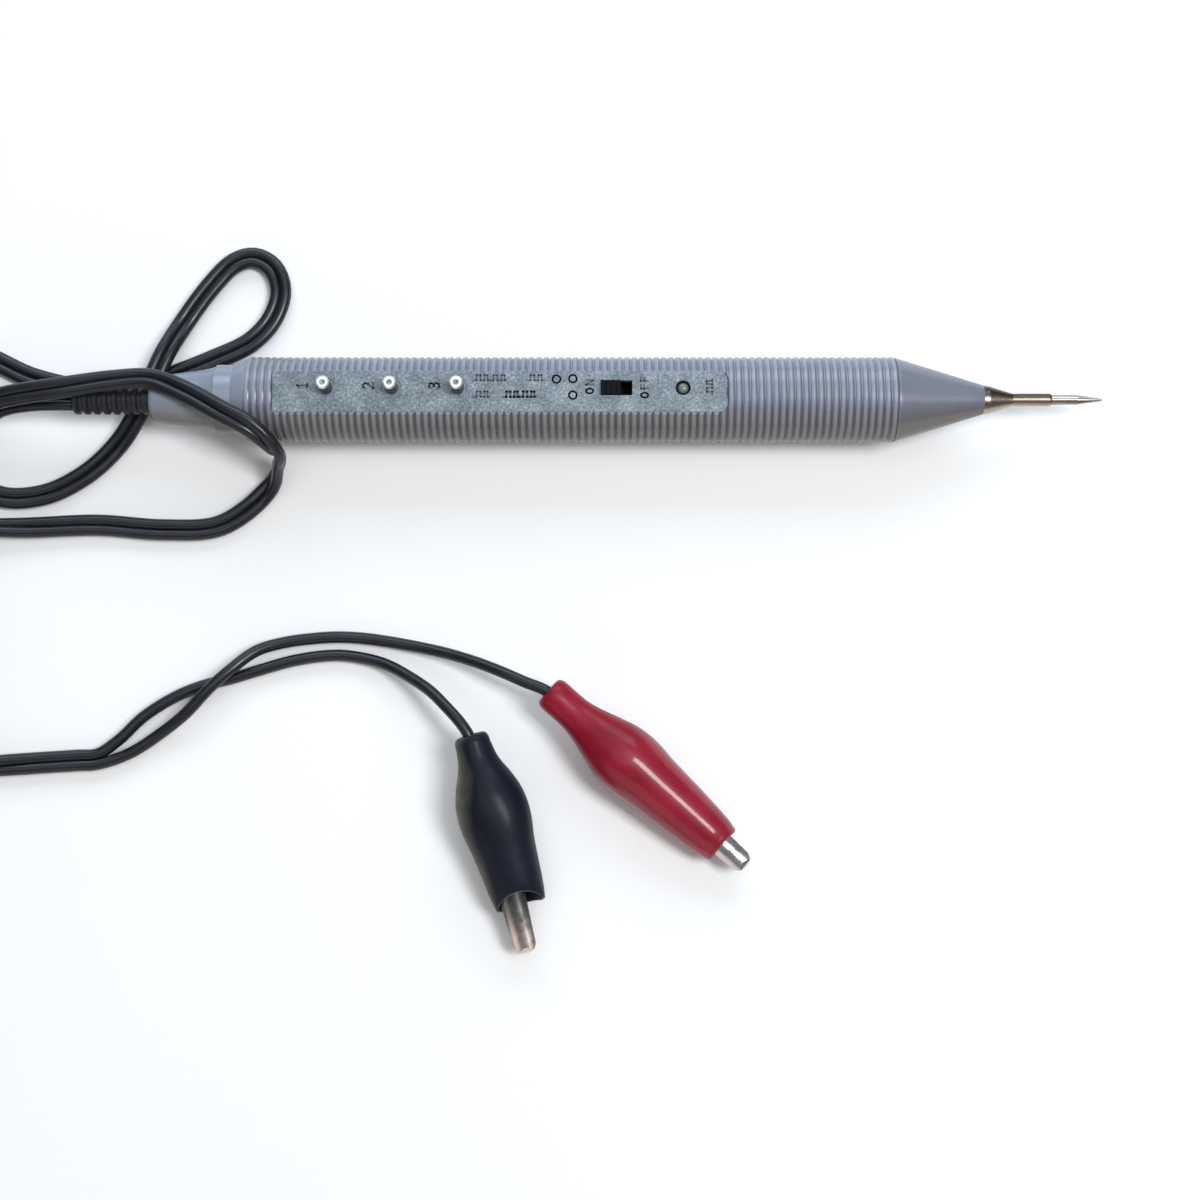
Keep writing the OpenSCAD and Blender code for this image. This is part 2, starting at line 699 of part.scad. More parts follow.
module sweep(path, w, h, n = 8, up = [0, 0, 1]) {
    last = len(path) - 1;
    points = [for (i = [0 : last], p = ring(path, i, w, h, n, up)) p];
    sides = [for (i = [0 : last - 1], k = [0 : n - 1])
        let (a = i * n + k, b = i * n + (k + 1) % n)
        each [[a, a + n, b + n], [a, b + n, b]]];
    front = [for (k = [0 : n - 1]) k];
    back = [for (k = [n - 1 : -1 : 0]) last * n + k];
    polyhedron(points, concat(sides, [front, back]));
}

module power_lead() {
    color(rubber)
        sweep(rear_route, twin_w, wire_d);
}

module lead_end() {
    color(rubber)
        sweep(front_route, twin_w, wire_d);
}

module lead_coil() {
    color(rubber)
        translate([coil_x, coil_y, coil_bot])
            rotate_extrude()
                polygon([
                    [coil_r - coil_half_w, 1], [coil_r - coil_half_w + 1, 0],
                    [coil_r + coil_half_w - 1, 0], [coil_r + coil_half_w, 1],
                    [coil_r + coil_half_w, coil_h - 1], [coil_r + coil_half_w - 1, coil_h],
                    [coil_r - coil_half_w + 1, coil_h], [coil_r - coil_half_w, coil_h - 1]]);
}

// A band round the turns on the coil's far side
module coil_tie() {
    w = coil_half_w + 0.15;
    low = coil_bot - 0.1;
    high = coil_bot + coil_h + 0.1;
    color(black_vinyl)
        translate([coil_x - coil_r, coil_y, 0])
            difference() {
                block([-w - tie_t, -tie_w / 2, low - tie_t], [w + tie_t, tie_w / 2, high + tie_t]);
                block([-w, -tie_w, low], [w, tie_w, high]);
            }
}

// A point on a clip's axis, x measured from the neck end
function on_clip(pose, x) = [
    pose[0] + x * cos(pose[3]) * cos(pose[4]),
    pose[1] + x * cos(pose[3]) * sin(pose[4]),
    pose[2] - x * sin(pose[3])];

// The last points of a conductor, straight through the neck up to the crimp
function into_clip(pose, depth) = [for (x = [-3, 0.5, depth - 0.05]) on_clip(pose, x)];

module red_lead() {
    color(rubber)
        sweep(concat(red_route, into_clip(red_pose, red_depth)), wire_d, wire_d);
}

module black_lead() {
    color(rubber)
        sweep(concat(black_route, into_clip(black_pose, black_depth)), wire_d, wire_d);
}

// Places what is drawn along +X, jaws opening to +Z, some way in from a clip's neck end
module clip_at(pose, depth = 0, skew = 0) {
    translate([pose[0], pose[1], pose[2]])
        rotate([0, pose[3], pose[4] - skew])
            translate([depth, 0, 0])
                children();
}

// A hollow vinyl boot whose mouth is cut back above and below the jaws
module boot(s, scoop) {
    inside = boot_profile(s[0], s[1], s[2], s[3], s[4], boot_wall);
    scoop_r = (s[2] * s[2] + scoop * scoop) / (2 * scoop);
    difference() {
        rotate([0, 90, 0])
            rotate_extrude()
                polygon([for (p = concat(
                    [[0, neck_bore], [0, neck_r - 0.6], [0.6, neck_r]],
                    boot_profile(s[0], s[1], s[2], s[3], s[4], 0),
                    [for (i = [len(inside) - 1 : -1 : 1]) inside[i]],
                    [[neck_len, neck_bore]])) [p[1], p[0]]]);
        translate([s[0] - scoop + scoop_r, 0, -lip_drop])
            cylinder(r = scoop_r, h = 2 * s[1]);
    }
}

// Side view of a jaw, filled in: ear, roof and rounded nose
module jaw_side(reach, drop, ear) {
    polygon([
        [pivot_x - 2.2 - drop, 0], [pivot_x + 2.2, 0], [pivot_x + 3.4, 0.15], [reach - drop, 0.15],
        [reach - drop, 0.9 - drop * 0.4], [reach - 0.5, 1.55 - drop], [reach - roof_end, nose_h - drop],
        [pivot_x + 2, jaw_h - drop], [pivot_x - 2.2 - drop, jaw_h - drop]]);
    if (ear > 0)
        translate([pivot_x, 0])
            circle(ear);
}

// A side view drawn in X and Z, given its width along Y
module across(w) {
    rotate([90, 0, 0])
        translate([0, 0, -w / 2])
            linear_extrude(w)
                children();
}

// Plan view of a jaw: straight at the ears, then tapering to a round nose
module jaw_plan(hw, nose, reach) {
    polygon([
        [pivot_x - 4, -hw], [pivot_x + 6, -hw], [reach - nose, -nose],
        [reach - nose, nose], [pivot_x + 6, hw], [pivot_x - 4, hw]]);
    translate([reach - nose, 0])
        circle(nose);
}

// A bar with a round top that runs just under a jaw's sloping roof
module crown(r, drop, reach) {
    slope = atan((jaw_h - nose_h) / (reach - roof_end - pivot_x - 2));
    translate([pivot_x + 2, 0, jaw_h])
        rotate([0, slope, 0])
            translate([-clip_len, 0, -r - 0.05]) {
                rotate([0, 90, 0])
                    cylinder(r = r - drop, h = 2 * clip_len);
                block([0, drop - r, -3 * r], [2 * clip_len, r - drop, 0]);
            }
}

// A stamped channel with toothed edges, a bored pair of ears and a bent handle
module jaw(hw, reach, bore, handle_hw, handle) {
    nose = hw * 0.8;
    difference() {
        union() {
            difference() {
                intersection() {
                    across(2 * hw)
                        jaw_side(reach, 0, ear_r);
                    translate([0, 0, -5])
                        linear_extrude(12)
                            jaw_plan(hw, nose, reach);
                    crown(hw + crown_over, 0, reach);
                }
                intersection() {
                    across(2 * hw)
                        jaw_side(reach, sheet_t, 0);
                    translate([0, 0, -5])
                        linear_extrude(12)
                            jaw_plan(hw - sheet_t, nose - sheet_t, reach - sheet_t);
                    crown(hw + crown_over, sheet_t, reach);
                }
                block([pivot_x - 5, sheet_t - hw, -4], [pivot_x + 5, hw - sheet_t, 0.6]);
            }
            across(2 * handle_hw)
                polygon(handle);
        }
        for (x = [pivot_x + 6 : tooth_pitch : reach - 1.6])
            across(8)
                polygon([[x - tooth_pitch / 2, 0], [x + tooth_pitch / 2, 0], [x, 1]]);
        translate([pivot_x, 0, 0])
            rotate([90, 0, 0])
                translate([0, 0, -5])
                    cylinder(r = bore, h = 10);
    }
}

// The sprung upper jaw, its handle rising towards the belly of the boot
module moving_jaw() {
    jaw(jaw_hw, clip_len, pin_r + 0.05, 2.2, [
        [pivot_x - 1.8, jaw_h - sheet_t], [pivot_x - 1.8, jaw_h], [pivot_x - 6, jaw_h + 0.4],
        [pivot_x - 11.1, jaw_h + 1.3], [pivot_x - 11.5, jaw_h + 0.9], [pivot_x - 6, jaw_h + 0.4 - sheet_t]]);
}

// The lower jaw carries the crimp barrel for its conductor
module fixed_jaw() {
    mirror([0, 0, 1])
        jaw(inner_hw, clip_len - 0.8, pin_r + 0.02, 1.6, [
            [pivot_x - 1.8, jaw_h - sheet_t], [pivot_x - 1.8, jaw_h], [pivot_x - 6, jaw_h + 0.4],
            [pivot_x - 9.6, jaw_h + 1.2], [crimp_len - 1.1, crimp_r + 0.2], [crimp_len - 0.9, crimp_r - 0.4],
            [pivot_x - 9.6, jaw_h + 0.65], [pivot_x - 6, jaw_h + 0.4 - sheet_t]]);
    rotate([0, 90, 0])
        cylinder(r = crimp_r, h = crimp_len);
}

// A headed pin through both pairs of ears
module jaw_pin() {
    out = jaw_hw + 0.05;
    head_r = pin_r * 1.5;
    translate([pivot_x, 0, 0])
        rotate([90, 0, 0])
            rotate_extrude()
                polygon([
                    [0, -out - 0.5], [pin_r + 0.1, -out - 0.5], [head_r, -out - 0.2],
                    [head_r, -out], [pin_r, -out], [pin_r, out], [head_r, out],
                    [head_r, out + 0.2], [pin_r + 0.1, out + 0.5], [0, out + 0.5]]);
}

// A torsion spring round the pin, with a leg under each handle
module jaw_spring() {
    wire = 0.5;
    r = pin_r + wire;
    turns = 2.5;
    steps = 26;
    half_w = 0.75;
    coil = [for (i = [0 : steps])
        let (a = 90 - 360 * turns * i / steps)
        [pivot_x + r * cos(a), half_w - 2 * half_w * i / steps, r * sin(a)]];
    sweep(concat(
        [[pivot_x - 10.5, half_w, 3.95], [pivot_x - 6, half_w, 3]], coil,
        [[pivot_x - 6, -half_w, -3], [pivot_x - 9, -half_w, -3.5]]),
        wire, wire, 6, [0, 1, 0]);
}

module red_boot() {
    color(red_vinyl)
        clip_at(red_pose)
            boot(red_boot_shape, red_scoop);
}

module red_fixed_jaw() {
    color(metal)
        clip_at(red_pose, red_depth)
            fixed_jaw();
}

module red_moving_jaw() {
    color(metal)
        clip_at(red_pose, red_depth)
            moving_jaw();
}

module red_jaw_pin() {
    color(steel)
        clip_at(red_pose, red_depth)
            jaw_pin();
}

module red_jaw_spring() {
    color(steel)
        clip_at(red_pose, red_depth)
            jaw_spring();
}

module black_boot() {
    color(black_vinyl)
        clip_at(black_pose)
            boot(black_boot_shape, black_scoop);
}

module black_fixed_jaw() {
    color(metal)
        clip_at(black_pose, black_depth, black_skew)
            fixed_jaw();
}

module black_moving_jaw() {
    color(metal)
        clip_at(black_pose, black_depth, black_skew)
            moving_jaw();
}

module black_jaw_pin() {
    color(steel)
        clip_at(black_pose, black_depth, black_skew)
            jaw_pin();
}

module black_jaw_spring() {
    color(steel)
        clip_at(black_pose, black_depth, black_skew)
            jaw_spring();
}

upper_shell();
lower_shell();
tail_cone();
strain_relief();
label_plate();
tip_collar();
tip_needle();
rear_post();
middle_post();
front_post();
switch_housing();
switch_terminals();
switch_lever();
indicator_lamp();
lamp_leads();
circuit_board();
logic_chip();
chip_pins();
driver_transistors();
filter_capacitor();
resistors();
inner_wires();
power_lead();
lead_coil();
coil_tie();
lead_end();
red_lead();
black_lead();
red_boot();
red_fixed_jaw();
red_moving_jaw();
red_jaw_pin();
red_jaw_spring();
black_boot();
black_fixed_jaw();
black_moving_jaw();
black_jaw_pin();
black_jaw_spring();
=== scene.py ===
import math

import bpy
from mathutils import Matrix, Vector


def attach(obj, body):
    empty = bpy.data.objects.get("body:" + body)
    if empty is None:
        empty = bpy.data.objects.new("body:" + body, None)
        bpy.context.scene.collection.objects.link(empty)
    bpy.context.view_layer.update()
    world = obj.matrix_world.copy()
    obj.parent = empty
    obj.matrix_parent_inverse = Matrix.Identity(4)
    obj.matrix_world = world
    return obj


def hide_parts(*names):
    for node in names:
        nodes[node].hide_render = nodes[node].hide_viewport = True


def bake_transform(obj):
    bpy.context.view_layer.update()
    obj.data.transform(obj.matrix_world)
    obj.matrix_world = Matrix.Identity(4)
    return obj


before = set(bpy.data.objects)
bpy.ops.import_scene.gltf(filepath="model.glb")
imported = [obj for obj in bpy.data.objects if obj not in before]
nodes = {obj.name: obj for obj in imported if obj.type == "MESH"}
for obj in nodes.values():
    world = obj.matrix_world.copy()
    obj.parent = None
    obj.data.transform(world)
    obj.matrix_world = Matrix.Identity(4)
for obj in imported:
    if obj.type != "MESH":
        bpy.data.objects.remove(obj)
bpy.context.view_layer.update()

# Lengths are in millimetres, which MM turns into Blender's metres. Light places and sizes are in metres
MM = 0.001
# The posts, the switch and the lamp stand on one line of the panel
PANEL_Y = 0.8
LAMP_X = 19.7
scene = bpy.context.scene
scene.view_settings.view_transform = "Standard"


# Colours are given as they look on a screen and turned into light values here
def lin(r, g, b):
    def one(c):
        c = c / 255
        return c / 12.92 if c <= 0.04045 else ((c + 0.055) / 1.055) ** 2.4
    return (one(r), one(g), one(b), 1.0)


# Camera above the table, tipped a little so that the panel is seen as in the photograph
CAM_TIP = 6.82
CAM_PLACE = (2.45, -88.5, 392.2)
CAM_LENS = 55.38
CAM_SENSOR = 36.0
CAM_NEAREST = 10
cam_data = bpy.data.cameras.new("camera")
cam_data.sensor_width = CAM_SENSOR
cam_data.lens = CAM_LENS
cam_data.clip_start = CAM_NEAREST * MM
cam = bpy.data.objects.new("camera", cam_data)
cam.location = [c * MM for c in CAM_PLACE]
cam.rotation_euler = (math.radians(CAM_TIP), 0, 0)
scene.collection.objects.link(cam)
scene.camera = cam


# Materials
class Nodes:
    """A material's node tree with short calls for what these materials need."""

    # Numbers of a Mix node's colour sockets, which share their names with its other sockets
    MIX_A = 6
    MIX_B = 7
    MIX_RESULT = 2
    # A pitch so long that a row has only one axis near the part
    LONE_AXIS = 1000.0

    def __init__(self, name):
        self.mat = bpy.data.materials.new(name)
        self.mat.use_nodes = True
        self.tree = self.mat.node_tree
        self.bsdf = self.tree.nodes["Principled BSDF"]
        coord = self.tree.nodes.new("ShaderNodeTexCoord")
        self.object = coord.outputs["Object"]
        self.normal = coord.outputs["Normal"]

    def link(self, a, b):
        self.tree.links.new(a, b)

    def noise(self, scale, detail=2.0, rough=0.5, stretch=None):
        """Noise in the object's own space, even or stretched."""
        n = self.tree.nodes.new("ShaderNodeTexNoise")
        n.inputs["Scale"].default_value = scale
        n.inputs["Detail"].default_value = detail
        n.inputs["Roughness"].default_value = rough
        where = self.object
        if stretch:
            m = self.tree.nodes.new("ShaderNodeMapping")
            m.inputs["Scale"].default_value = stretch
            self.link(where, m.inputs["Vector"])
            where = m.outputs["Vector"]
        self.link(where, n.inputs["Vector"])
        return n.outputs["Fac"]

    def dot(self, vector, direction):
        d = self.tree.nodes.new("ShaderNodeVectorMath")
        d.operation = "DOT_PRODUCT"
        d.inputs[1].default_value = direction
        self.link(vector, d.inputs[0])
        return d.outputs["Value"]

    def facing(self, *direction):
        """How much a surface faces a direction of the object's own space."""
        return self.dot(self.normal, direction)

    def toward(self, *direction):
        """Place along a direction of the object's own space."""
        return self.dot(self.object, direction)

    def ramp(self, fac, stops):
        """Colours by a value, from stops that each give a value and a colour."""
        r = self.tree.nodes.new("ShaderNodeValToRGB")
        while len(r.color_ramp.elements) < len(stops):
            r.color_ramp.elements.new(0.5)
        for e, (pos, col) in zip(r.color_ramp.elements, stops):
            e.position = pos
            e.color = col
        self.link(fac, r.inputs["Fac"])
        return r.outputs["Color"]

    def mix(self, fac, a, b):
        """From colour a to colour b, each a tuple or a socket."""
        m = self.tree.nodes.new("ShaderNodeMix")
        m.data_type = "RGBA"
        self.link(fac, m.inputs["Factor"])
        for i, v in ((self.MIX_A, a), (self.MIX_B, b)):
            if isinstance(v, tuple):
                m.inputs[i].default_value = v
            else:
                self.link(v, m.inputs[i])
        return m.outputs[self.MIX_RESULT]

    def darken(self, fac, color, by):
        """A colour multiplied by another, as far as fac says."""
        out = self.mix(fac, color, by)
        out.node.blend_type = "MULTIPLY"
        return out

    def span(self, fac, low, high, a=0.3, b=0.7):
        """From low at value a to high at value b, and level outside."""
        m = self.tree.nodes.new("ShaderNodeMapRange")
        m.inputs["From Min"].default_value = a
        m.inputs["From Max"].default_value = b
        m.inputs["To Min"].default_value = low
        m.inputs["To Max"].default_value = high
        self.link(fac, m.inputs["Value"])
        return m.outputs["Result"]

    def math(self, how, a, b):
        """One sum of two values, each a number or a socket."""
        m = self.tree.nodes.new("ShaderNodeMath")
        m.operation = how
        for i, v in enumerate((a, b)):
            if isinstance(v, (int, float)):
                m.inputs[i].default_value = v
            else:
                self.link(v, m.inputs[i])
        return m.outputs["Value"]

    def along(self, axis):
        """Place along an axis of the object's own space."""
        s = self.tree.nodes.new("ShaderNodeSeparateXYZ")
        self.link(self.object, s.inputs["Vector"])
        return s.outputs[axis]

    def from_axis(self, x, y, pitch=LONE_AXIS):
        """Distance from an upright axis, or from the nearest of a row of them along X."""
        steps = self.math("DIVIDE", self.math("SUBTRACT", self.along("X"), x * MM), pitch * MM)
        dx = self.math("MULTIPLY", self.math("PINGPONG", steps, 0.5), pitch * MM)
        dy = self.math("SUBTRACT", self.along("Y"), y * MM)
        square = self.math("ADD", self.math("MULTIPLY", dx, dx), self.math("MULTIPLY", dy, dy))
        return self.math("SQRT", square, 0.0)

    def bump(self, fac, strength, distance):
        b = self.tree.nodes.new("ShaderNodeBump")
        b.inputs["Strength"].default_value = strength
        b.inputs["Distance"].default_value = distance
        self.link(fac, b.inputs["Height"])
        self.link(b.outputs["Normal"], self.bsdf.inputs["Normal"])

    def base(self, color):
        self.link(color, self.bsdf.inputs["Base Color"])

    def rough(self, value):
        self.link(value, self.bsdf.inputs["Roughness"])

    def set(self, **values):
        for k, v in values.items():
            self.bsdf.inputs[k.replace("_", " ")].default_value = v


def shade(c, k):
    """A colour made darker or lighter."""
    return (min(1, c[0] * k), min(1, c[1] * k), min(1, c[2] * k), 1.0)


# Scale and depth, in metres, of the finest grain of a surface
GRAIN_SCALE = 2600
FINE_GRAIN = 0.00002
# Stretches noise into streaks along X
STREAK_X = (1, 6, 6)


def moulded(name, color, rough, grain=GRAIN_SCALE, grain_depth=FINE_GRAIN, spread=0.06, patch=60):
    """Moulded plastic or rubber, with faint patches and a fine grain."""
    m = Nodes(name)
    m.base(m.ramp(m.noise(patch, 4), [(0.3, shade(color, 1 - spread)), (0.7, shade(color, 1 + spread))]))
    m.rough(m.span(m.noise(patch * 3, 3), rough - 0.05, rough + 0.07))
    m.bump(m.noise(grain, 2), 0.25, grain_depth)
    return m


def bare_metal(name, rough, streak=None):
    """A metal's surface, without its colour."""
    m = Nodes(name)
    m.set(Metallic=1.0)
    m.rough(m.span(m.noise(700, 3, stretch=streak), rough - 0.05, rough + 0.08))
    m.bump(m.noise(1500, 2, stretch=streak), 0.08, FINE_GRAIN)
    return m


def metal(name, color, rough, mottle=0.12):
    """A metal of one mottled colour."""
    m = bare_metal(name, rough)
    m.base(m.ramp(m.noise(220, 4), [(0.3, shade(color, 1 - mottle)), (0.7, shade(color, 1.04))]))
    return m.mat


# The barrel has painted shade in the grooves of its lower side, a painted warm bounce light on its lower
# side, and painted shade on its nose cone and on the sides of its ribs that face the tip
RIB_FROM = -71.7
RIB_TO = 64.5
RIB_COUNT = 88
RIB_PITCH = (RIB_TO - RIB_FROM) / RIB_COUNT
BOUNCE_TINT = (0.74, 0.60, 0.46)
CONE_SHADE = (0.63, 0.60, 0.59, 1.0)
GROOVE_SHADE = 0.35


def barrel_plastic(name, color, rough, ribbed):
    """The barrel's plastic, with painted shade between the ribs where it has them."""
    m = Nodes(name)
    clean = m.ramp(m.noise(60, 4), [(0.3, shade(color, 0.94)), (0.7, shade(color, 1.06))])
    # painted warm bounce light on the lower side
    warm = (color[0] * BOUNCE_TINT[0], color[1] * BOUNCE_TINT[1], color[2] * BOUNCE_TINT[2], 1.0)
    lower_side = m.facing(0, -1, 0)
    tinted = m.mix(m.span(lower_side, 0, 1, 0.2, 0.85), clean, warm)
    # painted shade on the surfaces that face the tip: the nose cone and the sides of the ribs
    tinted = m.darken(m.span(m.facing(1, 0, 0), 0, 1, 0.1, 0.28), tinted, CONE_SHADE)
    if ribbed:
        x = m.along("X")
        turn = m.math("DIVIDE", m.math("SUBTRACT", x, RIB_FROM * MM), RIB_PITCH * MM)
        groove = m.span(m.math("PINGPONG", turn, 0.5), 1.0, 0.0, 0.08, 0.26)
        groove = m.math("MULTIPLY", groove, m.span(lower_side, 0.22, 0.85, -0.1, 0.5))
        after = m.math("GREATER_THAN", x, RIB_FROM * MM)
        before = m.math("LESS_THAN", x, RIB_TO * MM)
        groove = m.math("MULTIPLY", groove, m.math("MULTIPLY", after, before))
        # painted shade in the grooves on the lower side
        tinted = m.mix(groove, tinted, shade(warm, GROOVE_SHADE))
    m.base(tinted)
    m.rough(m.span(m.noise(180, 3), rough - 0.05, rough + 0.07))
    m.bump(m.noise(GRAIN_SCALE, 2), 0.08, FINE_GRAIN)
    return m.mat


barrel_mat = barrel_plastic("barrel_plastic", lin(135, 143, 159), 0.22, True)
tail_mat = barrel_plastic("tail_plastic", lin(131, 140, 156), 0.26, False)

# The label is speckled foil with dull and bright patches
label = Nodes("label_foil")
label.set(Metallic=0.2)
speck = label.noise(1900, 3, 0.7)
dull = label.ramp(speck, [(0.32, lin(78, 89, 95)), (0.5, lin(106, 118, 126)), (0.68, lin(138, 149, 156))])
bright = label.ramp(speck, [(0.32, lin(94, 105, 112)), (0.5, lin(126, 138, 147)), (0.68, lin(170, 180, 187))])
label.base(label.mix(label.span(label.noise(260, 3), 0, 1, 0.4, 0.62), dull, bright))
label.rough(label.span(label.noise(900, 3), 0.38, 0.55))
label.bump(speck, 0.35, 0.00003)
label_mat = label.mat

# The black clip's metal is in the shade of its boot's mouth and brighter towards its nose
BLACK_AHEAD = (0.2554, -0.9668, 0.0)
BLACK_MOUTH = 93.0
BLACK_NOSE = 107.0
shaded = bare_metal("shaded_nickel", 0.22)
to_nose = shaded.span(shaded.toward(*BLACK_AHEAD), 0, 1, BLACK_MOUTH * MM, BLACK_NOSE * MM)
shaded.base(shaded.ramp(to_nose, [
    (0.1, lin(60, 60, 62)), (0.55, lin(150, 148, 148)), (0.85, lin(226, 214, 206))]))
shaded_mat = shaded.mat
nickel_mat = metal("nickel", lin(214, 214, 216), 0.20, mottle=0.04)

# The posts have a painted highlight on top and painted shade down their sides, and their holes are painted
# bright to take away their shade
FIRST_POST = -54.5
POST_PITCH = 13.7
POST_HOLE_R = 0.8
post = Nodes("post_nickel")
post.set(Metallic=0.85)
post_top_lit = post.ramp(post.noise(500, 3), [(0.3, lin(236, 242, 246)), (0.7, lin(250, 252, 253))])
post_side_shade = post.ramp(post.noise(350, 4), [(0.3, lin(36, 37, 38)), (0.7, lin(66, 66, 65))])
# the holes are painted bright, which takes away their shade
in_hole = post.math("LESS_THAN", post.from_axis(FIRST_POST, PANEL_Y, POST_PITCH), POST_HOLE_R * MM)
top_side = post.span(post.facing(0, 0, 1), 0, 1, 0.3, 0.8)
post.base(post.mix(post.math("MAXIMUM", top_side, in_hole), post_side_shade, post_top_lit))
post.rough(post.span(post.noise(700, 3), 0.24, 0.36))
post.bump(post.noise(1500, 2), 0.08, FINE_GRAIN)
post_mat = post.mat

# The needle and its collar are turned, with painted reflections of the room in bands along them, set by the
# way each surface faces
needle = bare_metal("tip_steel", 0.26, STREAK_X)
lit_side = needle.span(needle.facing(0, 1, 0), 0, 1, -1, 1)
needle.base(needle.ramp(lit_side, [
    (0.2, lin(150, 140, 130)), (0.48, lin(112, 103, 96)), (0.6, lin(196, 189, 185)),
    (0.8, lin(180, 172, 168)), (0.95, lin(104, 98, 94))]))
needle_mat = needle.mat
collar = bare_metal("tip_collar", 0.30, STREAK_X)
round_it = collar.span(collar.facing(0, 1, 0), 0, 1, -1, 1)
collar.base(collar.ramp(round_it, [
    (0.05, lin(176, 164, 148)), (0.3, lin(128, 117, 106)), (0.55, lin(120, 110, 100)),
    (0.68, lin(70, 64, 58)), (0.85, lin(92, 86, 80)), (0.97, lin(170, 164, 158))]))
collar_mat = collar.mat
steel_mat = metal("spring_steel", lin(170, 168, 164), 0.28)

rubber_mat = moulded("rubber", lin(20, 23, 32), 0.5, 3000, 0.00003, 0.12).mat
switch_black = moulded("switch_black", lin(6, 11, 16), 0.5)
switch_black.set(Specular_IOR_Level=0.1)
switch_mat = switch_black.mat

# The lamp's lens is lighter in the middle, with painted shade towards its rim where it sits in its recess
LENS_UNSHADED_R = 0.75
LENS_SHADE_R = 1.25
lamp = Nodes("lamp_lens")
lens = lamp.ramp(lamp.noise(500, 3), [(0.3, lin(104, 112, 98)), (0.7, lin(132, 140, 124))])
lamp_off = lamp.from_axis(LAMP_X, PANEL_Y)
lamp.base(lamp.mix(lamp.span(lamp_off, 0, 1, LENS_UNSHADED_R * MM, LENS_SHADE_R * MM), lens, lin(44, 50, 46)))
lamp.rough(lamp.span(lamp.noise(900, 2), 0.14, 0.26))
lamp.set(Transmission_Weight=0.2, IOR=1.5)
lamp_mat = lamp.mat

board_mat = moulded("board", lin(34, 92, 52), 0.35, patch=300).mat
package_mat = moulded("package", lin(34, 35, 37), 0.6).mat
capacitor_mat = moulded("capacitor", lin(38, 56, 120), 0.3).mat

bands = Nodes("resistor")
bands.base(bands.ramp(bands.noise(700, 1, stretch=(4, 0.1, 0.1)),
                      [(0.42, lin(198, 168, 120)), (0.5, lin(120, 60, 40)), (0.58, lin(198, 168, 120))]))
bands.set(Roughness=0.4)
bands.bump(bands.noise(2500, 2), 0.1, FINE_GRAIN)
resistor_mat = bands.mat

vinyl = Nodes("lead_vinyl")
vinyl.base(vinyl.ramp(vinyl.noise(180, 4), [(0.3, lin(9, 12, 19)), (0.7, lin(22, 26, 36))]))
vinyl.rough(vinyl.span(vinyl.noise(400, 3), 0.26, 0.40))
vinyl.bump(vinyl.noise(900, 3), 0.12, 0.00004)
lead_mat = vinyl.mat

# The red boot shines from its belly to its mouth, and its neck is dull
RED_AHEAD = (0.7501, -0.6613, 0.0)
RED_NECK = 52.0
RED_BELLY = 58.0
red = Nodes("red_vinyl")
red.base(red.ramp(red.noise(150, 4), [(0.3, lin(124, 11, 32)), (0.7, lin(143, 20, 45))]))
red.rough(red.span(red.noise(350, 3), 0.32, 0.42))
red.bump(red.noise(700, 3), 0.06, 0.00005)
red.set(Coat_Roughness=0.09, Specular_IOR_Level=0.25, Subsurface_Weight=0.04, Subsurface_Scale=0.002)
past_neck = red.span(red.toward(*RED_AHEAD), 0.04, 0.45, RED_NECK * MM, RED_BELLY * MM)
red.link(past_neck, red.bsdf.inputs["Coat Weight"])
red_mat = red.mat

# The black boot has painted light on its left flank, and a painted glint on the rim of its mouth
LIT_FLANK = (-0.95, 0.3, 0.0)
MOUTH_RIM = (0.287, -0.949, -0.129)
boot_black = Nodes("black_vinyl")
top = boot_black.ramp(boot_black.noise(130, 6, 0.65),
                 [(0.3, lin(5, 10, 22)), (0.62, lin(10, 16, 33)), (0.8, lin(23, 30, 48))])
flank = boot_black.ramp(boot_black.noise(200, 5, 0.6), [(0.3, lin(74, 71, 62)), (0.7, lin(104, 99, 86))])
# painted light on the faces turned to the left flank
sides = boot_black.mix(boot_black.span(boot_black.facing(*LIT_FLANK), 0, 1, 0.35, 0.95), top, flank)
# a painted grey glint on the faces of the mouth's rim
rim_glint = boot_black.span(boot_black.facing(*MOUTH_RIM), 0, 1, 0.5, 0.85)
boot_black.base(boot_black.mix(rim_glint, sides, lin(104, 110, 120)))
boot_black.rough(boot_black.span(boot_black.noise(300, 4), 0.46, 0.62))
boot_black.bump(boot_black.noise(1100, 3), 0.15, 0.00004)
boot_black.set(Coat_Weight=0.12, Coat_Roughness=0.25, Specular_IOR_Level=0.2)
black_mat = boot_black.mat

ink = Nodes("label_ink")
ink.base(ink.ramp(ink.noise(1800, 3), [(0.3, lin(58, 66, 76)), (0.7, lin(84, 92, 102))]))
ink.set(Roughness=0.6)
ink_mat = ink.mat


def dress(mat, *names):
    """Gives the named CAD pieces a material."""
    for n in names:
        o = nodes[n]
        o.data.materials.clear()
        o.data.materials.append(mat)


